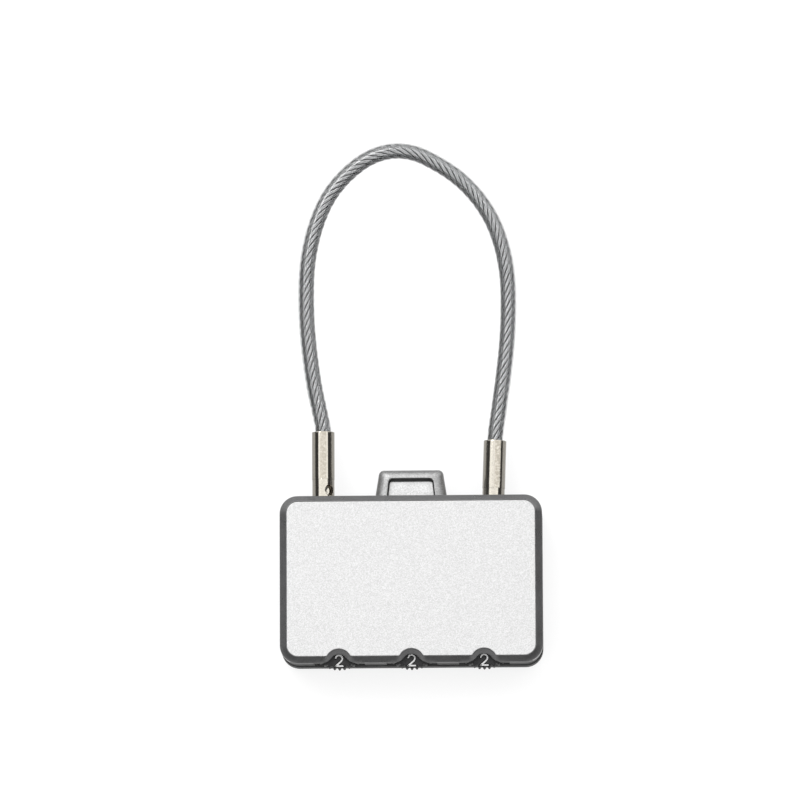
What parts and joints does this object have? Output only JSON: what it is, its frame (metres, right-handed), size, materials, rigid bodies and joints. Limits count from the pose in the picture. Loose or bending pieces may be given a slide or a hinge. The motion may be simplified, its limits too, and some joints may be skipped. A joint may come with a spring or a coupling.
{
  "type": "cable luggage lock",
  "caption": "Suitcase-shaped combination padlock with rim-turned number dials and a looped steel cable shackle ending in crimped ferrules.",
  "frame": {"origin": "on the supporting surface, under the middle of the case, handle and dials", "axes": "+Z out of the front face, +Y towards the cable loop, +X to the right seen from the front"},
  "size_m": [0.05, 0.1019, 0.0124],
  "materials": {
    "dark_shell": "satin dark grey paint",
    "silver_panel": "fine-grained silver",
    "frame_grey": "satin metallic grey",
    "dial_dark": "satin dark grey with light numbers",
    "steel": "plain",
    "brass": "turned",
    "spring_steel": "drawn wire",
    "nickel": "warm nickel plate",
    "coated_cable": "steel rope in clear coating"
  },
  "bodies": {
    "case": {"front_shell": "dark_shell", "front_panel": "silver_panel", "mid_frame": "frame_grey", "handle": "frame_grey", "back_shell": "dark_shell", "back_panel": "silver_panel", "case_screws": "steel", "dial_post_1": "steel", "dial_post_2": "steel", "dial_post_3": "steel", "dial_spring_1": "spring_steel", "dial_spring_2": "spring_steel", "dial_spring_3": "spring_steel", "detent_spring": "spring_steel", "lock_slide": "steel", "slide_spring": "spring_steel", "latch_spring": "spring_steel", "fixed_ferrule": "nickel", "retaining_clip": "spring_steel", "cable": "coated_cable"},
    "dial_wheel_1": {"dial_1": "dial_dark", "cam_1": "brass"},
    "dial_wheel_2": {"dial_2": "dial_dark", "cam_2": "brass"},
    "dial_wheel_3": {"dial_3": "dial_dark", "cam_3": "brass"},
    "latch": {"latch_bolt": "steel"},
    "free_end": {"free_ferrule": "nickel"}
  },
  "joints": [
    {"name": "dial_1_turn", "type": "hinge", "parent": "case", "child": "dial_wheel_1", "pos_m": [-0.0138, -0.01285, 0.008], "axis": [0, 0, 1], "continuous": true},
    {"name": "dial_2_turn", "type": "hinge", "parent": "case", "child": "dial_wheel_2", "pos_m": [0, -0.01285, 0.008], "axis": [0, 0, 1], "continuous": true},
    {"name": "dial_3_turn", "type": "hinge", "parent": "case", "child": "dial_wheel_3", "pos_m": [0.0138, -0.01285, 0.008], "axis": [0, 0, 1], "continuous": true},
    {"name": "free_end_pull", "type": "slide", "parent": "case", "child": "free_end", "axis": [0, 1, 0], "range_m": [0, 0.012], "deforming": ["cable"]},
    {"name": "latch_slide", "type": "slide", "parent": "case", "child": "latch", "axis": [1, 0, 0], "range_m": [0, 0.0012], "stiffness_N_per_m": 150, "springref_m": -0.002, "deforming": ["latch_spring"]}
  ]
}
